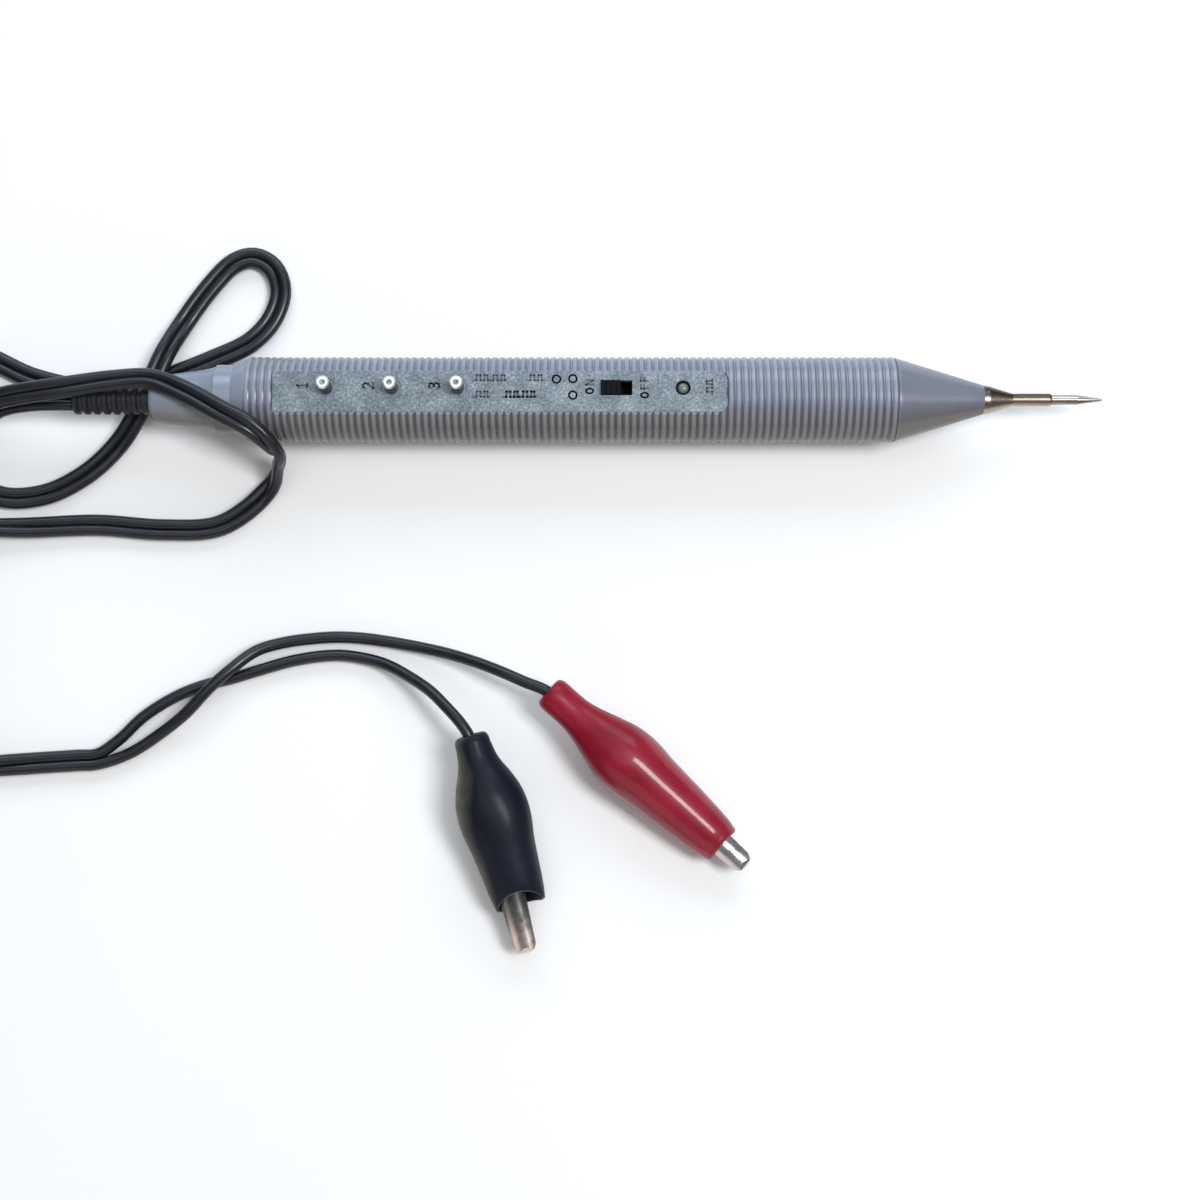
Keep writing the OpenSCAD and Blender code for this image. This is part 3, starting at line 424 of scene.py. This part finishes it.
dress(barrel_mat, "upper_shell", "lower_shell")
dress(tail_mat, "tail_cone")
dress(label_mat, "label_plate")
dress(collar_mat, "tip_collar")
dress(needle_mat, "tip_needle")
dress(post_mat, "rear_post", "middle_post", "front_post")
dress(nickel_mat, "switch_terminals", "lamp_leads", "chip_pins", "red_fixed_jaw", "red_moving_jaw")
dress(shaded_mat, "black_fixed_jaw", "black_moving_jaw")
dress(steel_mat, "red_jaw_pin", "black_jaw_pin")
dress(rubber_mat, "strain_relief")
dress(switch_mat, "switch_housing", "switch_lever", "coil_tie")
dress(lamp_mat, "indicator_lamp")
dress(board_mat, "circuit_board")
dress(package_mat, "logic_chip", "driver_transistors")
dress(capacitor_mat, "filter_capacitor")
dress(resistor_mat, "resistors")
dress(lead_mat, "inner_wires")


def add_mesh(name, verts, faces, mat, smooth=True):
    """A new object in the scene, its points in metres."""
    me = bpy.data.meshes.new(name)
    me.from_pydata([tuple(v) for v in verts], [], faces)
    me.materials.append(mat)
    for p in me.polygons:
        p.use_smooth = smooth
    me.update()
    o = bpy.data.objects.new(name, me)
    scene.collection.objects.link(o)
    return o


# Stands for the distance between two points that lie on each other
SHORTEST = 1e-6


def catmull(points, step):
    """Points along a smooth curve through the given ones, all their numbers carried along."""
    pts = [Vector(p) for p in points]
    out = []
    ends = [pts[0] * 2 - pts[1]] + pts + [pts[-1] * 2 - pts[-2]]
    for i in range(1, len(ends) - 2):
        p0, p1, p2, p3 = ends[i - 1:i + 3]
        gap = (Vector(p2[:3]) - Vector(p1[:3])).length
        n = max(2, round(gap / step))
        d01 = max(SHORTEST, (Vector(p1[:3]) - Vector(p0[:3])).length) ** 0.5
        d12 = max(SHORTEST, gap) ** 0.5
        d23 = max(SHORTEST, (Vector(p3[:3]) - Vector(p2[:3])).length) ** 0.5
        t0 = 0.0
        t1 = d01
        t2 = t1 + d12
        t3 = t1 + d12 + d23
        for k in range(n):
            t = t1 + (t2 - t1) * k / n
            a1 = p0 * ((t1 - t) / (t1 - t0)) + p1 * ((t - t0) / (t1 - t0))
            a2 = p1 * ((t2 - t) / (t2 - t1)) + p2 * ((t - t1) / (t2 - t1))
            a3 = p2 * ((t3 - t) / (t3 - t2)) + p3 * ((t - t2) / (t3 - t2))
            b1 = a1 * ((t2 - t) / (t2 - t0)) + a2 * ((t - t0) / (t2 - t0))
            b2 = a2 * ((t3 - t) / (t3 - t1)) + a3 * ((t - t1) / (t3 - t1))
            out.append(b1 * ((t2 - t) / (t2 - t1)) + b2 * ((t - t1) / (t2 - t1)))
    out.append(pts[-1])
    return out


def frames(path):
    """Heading, side and up at each point of a path."""
    out = []
    for i in range(len(path)):
        before = Vector(path[max(i - 1, 0)][:3])
        after = Vector(path[min(i + 1, len(path) - 1)][:3])
        t = (after - before).normalized()
        s = Vector((0, 0, 1)).cross(t).normalized()
        out.append((t, s, t.cross(s)))
    return out


def tube(name, path, r, mat, sides=12):
    """A round tube along a dense path, its section carried along without twist."""
    pts = [Vector(p[:3]) for p in path]
    n = len(pts)
    t0 = (pts[1] - pts[0]).normalized()
    side = Vector((0, 0, 1)).cross(t0).normalized()
    verts, faces = [], []
    for i in range(n):
        t = (pts[min(i + 1, n - 1)] - pts[max(i - 1, 0)]).normalized()
        side = (side - t * side.dot(t)).normalized()
        up = t.cross(side)
        for k in range(sides):
            a = 2 * math.pi * k / sides
            verts.append((pts[i] + (side * math.cos(a) + up * math.sin(a)) * r) * MM)
    for i in range(n - 1):
        for k in range(sides):
            a = i * sides + k
            b = i * sides + (k + 1) % sides
            faces.append((a, b, b + sides, a + sides))
    faces.append(tuple(range(sides - 1, -1, -1)))
    faces.append(tuple((n - 1) * sides + k for k in range(sides)))
    return add_mesh(name, verts, faces, mat)


def ease(t, a, b):
    """From 0 at a to 1 at b without a kink, and level outside."""
    k = min(1, max(0, (t - a) / (b - a)))
    return k * k * (3 - 2 * k)


# The route of the twin lead, in millimetres with the roll of its flat side in degrees. It starts on the
# barrel's axis at the end of the strain relief, and its conductors lie TWIN_HALF to each side of it
AXIS_Z = 9.0
RELIEF_X = -108.75
WIRE_R = 1.25
TWIN_HALF = 1.07
LEAD_STEP = 1.2
rear_route = [
    (RELIEF_X, 0, AXIS_Z, 0), (-113, 0, AXIS_Z, 0), (-119, -0.1, 8.2, 0), (-126.4, -1.2, 5.8, 0),
    (-132.7, -5.8, 2.8, 0), (-133.9, -13.3, 1.3, 0), (-127.2, -19.1, 1.3, 0),
    (-117.3, -19.1, 1.3, 0), (-108, -14.5, 1.3, 0), (-101, -7.7, 1.6, 0), (-96.9, -1.7, 3.3, 0),
    (-94.9, 2.5, 3.9, 0), (-93.2, 6.8, 3.9, 0), (-91.3, 11.6, 3.4, 0), (-87.7, 19, 1.4, 0),
    (-82.3, 26.9, 1.3, 0), (-77.2, 32.2, 1.3, 0), (-72.9, 33.4, 1.3, 0), (-68.9, 31.2, 1.3, 0),
    (-67, 26.2, 1.3, 0), (-68.6, 20, 1.3, 0), (-73.1, 14.7, 1.3, 0), (-81.3, 10.6, 1.2, 0),
    (-90.5, 6.9, 1.2, 0), (-98.1, 4.5, 1.2, 0), (-108.1, 4, 1.2, 0), (-120.2, 6.6, 1.2, 0),
    (-133.5, 12.2, 1.2, 0), (-142.5, 11.2, 1.8, 0), (-147, 5.2, 3, 0), (-143, -1.2, 5.2, 0),
    (-133.9, -1.9, 8.4, 0), (-122, 0.2, 11.8, 0), (-111.1, 1.5, 13.5, 0), (-99.1, 3.1, 14, -15),
    (-91.6, 3.2, 14.7, -19), (-84, 0.1, 16.7, 0), (-75.9, -4.5, 18, 15), (-70.2, -7.5, 17.7, 30),
    (-65.8, -11.3, 13.8, 62), (-65.5, -13.2, 7.4, 80), (-68, -17, 1.9, 30),
    (-73.5, -22.5, 1.3, 0), (-79.8, -26, 1.3, 0), (-91.2, -26.6, 1.3, 0),
    (-105.2, -25.6, 1.3, 0), (-121, -26.2, 1.5, 20), (-134.9, -26.1, 2.4, 60)]
front_route = [
    (-141, -78.8, 4, 60), (-127.9, -77.3, 2.2, 30), (-116.2, -76.4, 1.3, 0), (-103.7, -75.6, 1.3, 0)]
routes = {
    "red": [
        (-96.9, -74.4, 1.3), (-90.6, -70.4, 1.7), (-84.8, -66, 3.1), (-80.2, -61.1, 3.8),
        (-75.8, -57, 3.5), (-70.4, -52.7, 2.1), (-64.8, -50.9, 1.3), (-59.4, -50.1, 1.3),
        (-53.9, -49.7, 1.3), (-48.5, -49.9, 1.3), (-43.1, -50.6, 1.4), (-36.1, -51.9, 2),
        (-29.5, -53.5, 3.6), (-23.2, -55.6, 6.2), (-17.8, -57.8, 8.3), (-13.1, -59.9, 9.2)],
    "black": [
        (-99.2, -71.5, 1.3), (-94.1, -66.6, 1.3), (-87.3, -62.3, 1.3), (-81.9, -60.1, 1.3),
        (-76, -58.6, 1.3), (-70, -56.8, 1.3), (-62, -54.6, 1.3), (-53.9, -53.6, 1.3),
        (-48.5, -54.1, 1.5), (-43, -55.6, 2.6), (-37.9, -58.3, 4.9), (-32.9, -61.7, 7.9),
        (-29.8, -64.7, 9.4), (-27, -67.7, 10.1)]}

# The coil: three and a half turns on edge, two beside each other and two layers high, and the lead drops a
# little as it leaves
COIL_X = -157.0
COIL_Y = -52.5
COIL_LOW = 2.85
COIL_HIGH = 7.2
COIL_DROP = 1.0
TURN_OUT = 25.75
TURN_IN = 23.4
TURN_STEPS = 24
TURNS = 3.5
coil_route = []
for i in range(round(TURNS * TURN_STEPS) + 1):
    turn = i / TURN_STEPS
    a = math.radians(90 + 360 * turn)
    r = TURN_OUT + (TURN_IN - TURN_OUT) * (ease(turn, 0.8, 1.1) - ease(turn, 2.8, 3.1))
    z = COIL_LOW + (COIL_HIGH - COIL_LOW) * ease(turn, 1.8, 2.1) - COIL_DROP * ease(turn, 3.3, 3.5)
    coil_route.append((COIL_X + r * math.cos(a), COIL_Y + r * math.sin(a), z, 90))

twin = catmull(rear_route + coil_route + front_route, LEAD_STEP)
twin_frames = frames(twin)


def conductor(side):
    """One conductor of the twin: the centreline moved half a width to one side."""
    out = []
    for p, (_, s, u) in zip(twin, twin_frames):
        a = math.radians(p[3])
        wide = s * math.cos(a) + u * math.sin(a)
        q = Vector(p[:3]) + wide * (side * TWIN_HALF)
        q.z = max(q.z, WIRE_R)
        out.append(q)
    return out


# The clips, drawn along their own axis from the boot's neck end. A boot's swell and taper give shares of its
# length, and with them shares of the way from the neck or the mouth to the belly. depth is where the metal
# starts, skew its turn inside the boot, scoop and lip shape the mouth, and flat presses the belly's top down
NECK_R = 3.7
NECK_LEN = 6.8
WALL = 0.8
BORE_R = 1.35
CLIPS = {
    "red": dict(place=(-8.3, -61.6, 9.3402), lean=5.3, yaw=-41.4, length=48.6, belly=7.1, mouth=4.4,
                scoop=1.0, lip=0.9, depth=16.1, skew=0.0, side=-1, mat=red_mat, flat=0.0,
                swell=[(0.149, 0.014), (0.192, 0.11), (0.255, 0.35), (0.297, 0.54), (0.341, 0.72),
                       (0.382, 0.875), (0.446, 1)],
                taper=[(0.515, 0.966), (0.594, 0.776), (0.673, 0.655), (0.802, 0.46), (0.905, 0.26),
                       (0.955, 0.13), (1, 0)]),
    "black": dict(place=(-24.4, -70.9, 10.079), lean=7.4, yaw=-73.2, length=37.0, belly=7.5, mouth=5.2,
                  scoop=3.9, lip=0.1, depth=7.6, skew=2.0, side=1, mat=black_mat, flat=0.5,
                  swell=[(0.143, 0.12), (0.197, 0.3), (0.252, 0.55), (0.309, 0.754), (0.364, 0.911),
                         (0.442, 1)],
                  taper=[(0.501, 0.982), (0.556, 0.893), (0.639, 0.66), (0.779, 0.43), (0.883, 0.286),
                         (0.965, 0.12), (1, 0)])}
# From the metal clip's rear end to its jaw pin
PIVOT = 17.5
# Points at the end of the twin that make way for the split
SPLIT_POINTS = 4
# The lead enters the boots' necks a little off their axis and ends just short of the metal
NECK_ROUTE = [(-0.7, -0.45), (2.5, -0.1)]
SHORT_OF_METAL = 0.05


def clip_matrix(which, skew=0.0):
    """From a clip's own directions to the scene's, X ahead from its neck end and Z up through its jaws."""
    c = CLIPS[which]
    heading = Matrix.Rotation(math.radians(c["yaw"] - skew), 4, "Z")
    return Matrix.Translation(c["place"]) @ heading @ Matrix.Rotation(math.radians(c["lean"]), 4, "Y")


def on_clip(which, x, y=0.0, z=0.0):
    return clip_matrix(which) @ Vector((x, y, z))


def on_pivot(which, x, y, z):
    """A place measured from the middle of the jaw pin, in the metal clip's own directions."""
    c = CLIPS[which]
    return clip_matrix(which, c["skew"]) @ Vector((c["depth"] + PIVOT + x, y, z))


def lead_path(which):
    """One conductor from the strain relief to the metal inside its boot."""
    c = CLIPS[which]
    twin_side = conductor(c["side"])
    into = [on_clip(which, *p) for p in NECK_ROUTE] + [on_clip(which, c["depth"] - SHORT_OF_METAL)]
    tail = [twin_side[-SPLIT_POINTS], twin_side[-1]] + [Vector(p) for p in routes[which]] + into
    return twin_side[:-SPLIT_POINTS] + catmull(tail, LEAD_STEP)


paths = {which: lead_path(which) for which in CLIPS}
STANDS_FOR = {"red": ("power_lead", "lead_coil", "lead_end", "red_lead"), "black": ("black_lead",)}
for which, solids in STANDS_FOR.items():
    o = tube(which + "_conductor", paths[which], WIRE_R, lead_mat)
    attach(o, "probe")
    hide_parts(*solids)


# How the boots are drawn. Their bores pinch the lead, their mouths are scooped out over the moving jaw, from
# SCOOP_FROM of their length on and above SCOOP_LOW, and a belly is flattened between two shares of the length
BOOT_SIDES = 84
PROFILE_STEP = 0.8
NECK_ROUND = 2.4
RIM_OUT = 0.25
INSIDE_FROM = NECK_LEN + 2.5
PINCH = 0.06
SCOOP_FROM = 0.62
SCOOP_WIDTH = 0.98
SCOOP_LOW = -1.4
SCOOP_FULL = 0.6
FLAT_FROM = 0.2
FLAT_FULL = 0.4


def boot_profile(which):
    """Place and radius of each ring of a boot: along its outside, round the mouth's rim and back inside."""
    c = CLIPS[which]
    length, belly, mouth, lip = c["length"], c["belly"], c["mouth"], c["lip"]
    form = [(NECK_ROUND, NECK_R)] + [(p * length, NECK_R + k * (belly - NECK_R)) for p, k in c["swell"]]
    form += [(min(p * length, length - lip), mouth + k * (belly - mouth)) for p, k in c["taper"]]
    outside = [(p[0], p[1]) for p in catmull([(x, r, 0.0) for x, r in form], PROFILE_STEP)]
    end_x, end_r = outside[-1]
    quarter = [math.radians(t) for t in range(15, 91, 15)]
    rim = [(end_x + (lip + RIM_OUT) * math.sin(t), end_r - WALL * (1 - math.cos(t))) for t in quarter]
    inside = [(x, r - WALL) for x, r in reversed(outside[:-1]) if x > INSIDE_FROM]
    neck = [(0.05, BORE_R + 0.25), (0.0, NECK_R - 1.2), (0.12, NECK_R - 0.75), (0.45, NECK_R - 0.35),
            (1.0, NECK_R - 0.12), (1.6, NECK_R - 0.03)]
    bore = [(NECK_LEN + 0.4, BORE_R + 0.3), (NECK_LEN, BORE_R - PINCH), (0.5, BORE_R - PINCH)]
    return neck + outside + rim + inside + bore


def boot(which):
    """A soft skin round the clip: rounded neck end, belly, and a mouth cut back over the jaws."""
    c = CLIPS[which]
    length, belly, mouth, scoop = c["length"], c["belly"], c["mouth"], c["scoop"]
    profile = boot_profile(which)
    scoop_r = (mouth * mouth + scoop * scoop) / (2 * scoop)
    m = clip_matrix(which)
    sides = BOOT_SIDES
    verts, faces = [], []
    for x, r in profile:
        for k in range(sides):
            a = 2 * math.pi * k / sides
            y = r * math.cos(a)
            z = r * math.sin(a)
            reach = min(abs(y), mouth * SCOOP_WIDTH)
            back = scoop - scoop_r + math.sqrt(scoop_r ** 2 - reach ** 2)
            back *= ease(x, SCOOP_FROM * length, length)
            back *= ease(z, SCOOP_LOW, SCOOP_FULL)
            if z > 0:
                z -= c["flat"] * ease(x, FLAT_FROM * length, FLAT_FULL * length) * (z / belly) ** 4
            verts.append((m @ Vector((x - back, y, z))) * MM)
    n = len(profile)
    for j in range(n):
        for k in range(sides):
            here = j * sides
            there = ((j + 1) % n) * sides
            after = (k + 1) % sides
            faces.append((here + k, there + k, there + after, here + after))
    o = add_mesh(which + "_boot_skin", verts, faces, c["mat"])
    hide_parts(which + "_boot")
    x = c["depth"] + PIVOT + 8
    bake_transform(o)
    return o


boots = {which: boot(which) for which in CLIPS}


# The springs' upper legs lie under the moving jaws, and their turns wind round the pin
SPRING_R = 1.5
SPRING_HALF = 0.75
SPRING_WIRE = 0.25
SPRING_TURNS = 2.5
SPRING_STEPS = 60


def spring(which):
    """A torsion spring round the jaw pin, with a leg under each handle of the clip."""
    turns = []
    for i in range(SPRING_STEPS + 1):
        a = math.radians(90 - 360 * SPRING_TURNS * i / SPRING_STEPS)
        across = SPRING_HALF * (1 - 2 * i / SPRING_STEPS)
        turns.append((SPRING_R * math.cos(a), across, SPRING_R * math.sin(a)))
    upper_leg = [(-10.5, SPRING_HALF, 3.95), (-6, SPRING_HALF, 3)]
    lower_leg = [(-6, -SPRING_HALF, -3), (-9, -SPRING_HALF, -3.5)]
    path = [on_pivot(which, *p) for p in upper_leg + turns + lower_leg]
    o = tube(which + "_spring_wire", path, SPRING_WIRE, steel_mat, sides=8)
    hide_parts(which + "_jaw_spring")
    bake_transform(o)
    return o


springs = {which: spring(which) for which in CLIPS}

# Gathers the pieces on each clip: its boot, spring, jaws and jaw pin, and on the red one the coil tie
for which in CLIPS:
    on = [boots[which], springs[which]]
    on += [nodes[which + "_" + k] for k in ("fixed_jaw", "moving_jaw", "jaw_pin")]
    if which == "red":
        on.append(nodes["coil_tie"])


# Generic marks on the label: post numbers, switch ends and a pulse sign, as printed strokes
LABEL_TOP = 16.9
INK_LIFT = 0.012
GLYPHS = {
    "1": [[(-0.25, 0.55), (0.05, 0.8), (0.05, -0.8)], [(-0.3, -0.8), (0.4, -0.8)]],
    "2": [[(-0.42, 0.45), (-0.25, 0.75), (0.2, 0.78), (0.44, 0.45), (0.3, 0.05), (-0.45, -0.8),
           (0.46, -0.8)]],
    "3": [[(-0.42, 0.6), (-0.1, 0.8), (0.3, 0.7), (0.4, 0.38), (0.2, 0.06), (-0.1, 0.03)],
          [(-0.1, 0.03), (0.25, 0.0), (0.46, -0.35), (0.3, -0.72), (-0.1, -0.82), (-0.45, -0.6)]],
    "pulse": [[(-1.5, -0.5), (-0.9, -0.5), (-0.9, 0.5), (-0.15, 0.5), (-0.15, -0.5), (0.6, -0.5), (0.6, 0.5),
               (1.2, 0.5), (1.2, -0.5), (1.6, -0.5)]],
    "O": [[(0.5 * math.cos(math.radians(t)), 0.75 * math.sin(math.radians(t))) for t in range(0, 361, 20)]],
    "N": [[(-0.45, -0.75), (-0.45, 0.75), (0.45, -0.75), (0.45, 0.75)]],
    "F": [[(-0.4, -0.75), (-0.4, 0.75), (0.45, 0.75)], [(-0.4, 0.05), (0.3, 0.05)]],
    "ring": [[(0.8 * math.cos(math.radians(t)), 0.8 * math.sin(math.radians(t))) for t in range(0, 361, 18)]]}


def printed(marks):
    """Prints marks that each give a glyph, its place, size and turn, and the pen's width."""
    verts, faces = [], []
    for glyph, x, y, size, turn, pen in marks:
        c = math.cos(math.radians(turn))
        s = math.sin(math.radians(turn))
        for line in GLYPHS[glyph]:
            pts = [(x + size * (px * c - py * s), y + size * (px * s + py * c)) for px, py in line]
            for (ax, ay), (bx, by) in zip(pts, pts[1:]):
                d = math.hypot(bx - ax, by - ay)
                ux = (bx - ax) / d * pen / 2
                uy = (by - ay) / d * pen / 2
                i = len(verts)
                for qx, qy in ((ax - ux + uy, ay - uy - ux), (ax - ux - uy, ay - uy + ux),
                               (bx + ux - uy, by + uy + ux), (bx + ux + uy, by + uy - ux)):
                    verts.append((qx * MM, qy * MM, (LABEL_TOP + INK_LIFT) * MM))
                faces.append((i, i + 3, i + 2, i + 1))
    o = add_mesh("label_marks", verts, faces, ink_mat, smooth=False)
    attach(o, "probe")


printed([
    ("1", -59.4, 1.2, 1.3, 90, 0.42), ("2", -45.7, 1.2, 1.3, 90, 0.42), ("3", -32.0, 1.2, 1.3, 90, 0.42),
    ("O", 0.3, 0.1, 1.0, 90, 0.36), ("N", 0.3, 1.9, 1.0, 90, 0.36),
    ("O", 11.7, -0.8, 1.0, 90, 0.36), ("F", 11.7, 1.0, 1.0, 90, 0.36), ("F", 11.7, 2.6, 1.0, 90, 0.36),
    ("pulse", -22.2, 2.9, 1.1, 0, 0.34), ("pulse", -18.7, 2.9, 1.1, 0, 0.34),
    ("pulse", -11.0, 2.9, 1.1, 0, 0.34), ("pulse", -22.2, -0.6, 1.1, 0, 0.34),
    ("pulse", -16.0, -0.6, 1.1, 0, 0.5), ("pulse", -12.5, -0.6, 1.1, 0, 0.5),
    ("ring", -6.6, 2.6, 1.0, 0, 0.36), ("ring", -3.2, 2.7, 1.0, 0, 0.36), ("ring", -3.2, -0.8, 1.0, 0, 0.36),
    ("pulse", 25.2, 0.9, 1.1, 90, 0.36)])


# Floor and light, in metres
FLOOR_HALF = 3
FLOOR_Z = -0.0002
paper = Nodes("floor")
paper.base(paper.ramp(paper.noise(6, 2), [(0.3, (0.86, 0.86, 0.86, 1)), (0.7, (0.88, 0.88, 0.88, 1))]))
paper.set(Roughness=0.9)
corners = [(FLOOR_HALF * x, FLOOR_HALF * y, FLOOR_Z) for x, y in ((-1, -1), (1, -1), (1, 1), (-1, 1))]
floor = add_mesh("floor", corners, [(0, 1, 2, 3)], paper.mat)

world = bpy.data.worlds.new("studio")
world.use_nodes = True
sky = world.node_tree.nodes["Background"].inputs
sky["Color"].default_value = (0.95, 0.97, 1.0, 1)
sky["Strength"].default_value = 0.20
scene.world = world


def aimed(place, aim):
    """The turn that points a light from one place to another."""
    return (Vector(aim) - Vector(place)).to_track_quat("-Z", "Y").to_euler()


def area(name, place, turn, size, power, color):
    """A soft rectangular light."""
    d = bpy.data.lights.new(name, "AREA")
    d.shape = "RECTANGLE"
    d.size, d.size_y = size
    d.energy = power
    d.color = color
    o = bpy.data.objects.new(name, d)
    o.location = place
    o.rotation_euler = turn
    scene.collection.objects.link(o)


# The softbox lies along the red boot, so that its highlight runs along the boot
SOFTBOX_TIP = 18
along_boot = Matrix.Rotation(math.radians(CLIPS["red"]["yaw"]), 4, "Z")
softbox_turn = along_boot @ Matrix.Rotation(math.radians(SOFTBOX_TIP), 4, "Y")
area("softbox", (0.58, -0.06, 1.1), softbox_turn.to_euler(), (0.56, 0.32), 11, (0.96, 0.98, 1.0))
for name, place, aim, size, power, color in (
        ("ceiling", (-0.1, 0.1, 1.3), (-0.05, -0.05, 0), (1.3, 1.0), 3.8, (0.95, 0.98, 1.0)),
        ("window", (0.0, 0.95, 0.62), (0, 0, 0), (1.4, 0.6), 8.8, (0.78, 0.90, 1.0)),
        ("bounce", (-0.25, -0.9, 0.4), (0, -0.05, 0), (1.4, 0.6), 1.9, (1.0, 0.86, 0.76))):
    area(name, place, aimed(place, aim), size, power, color)
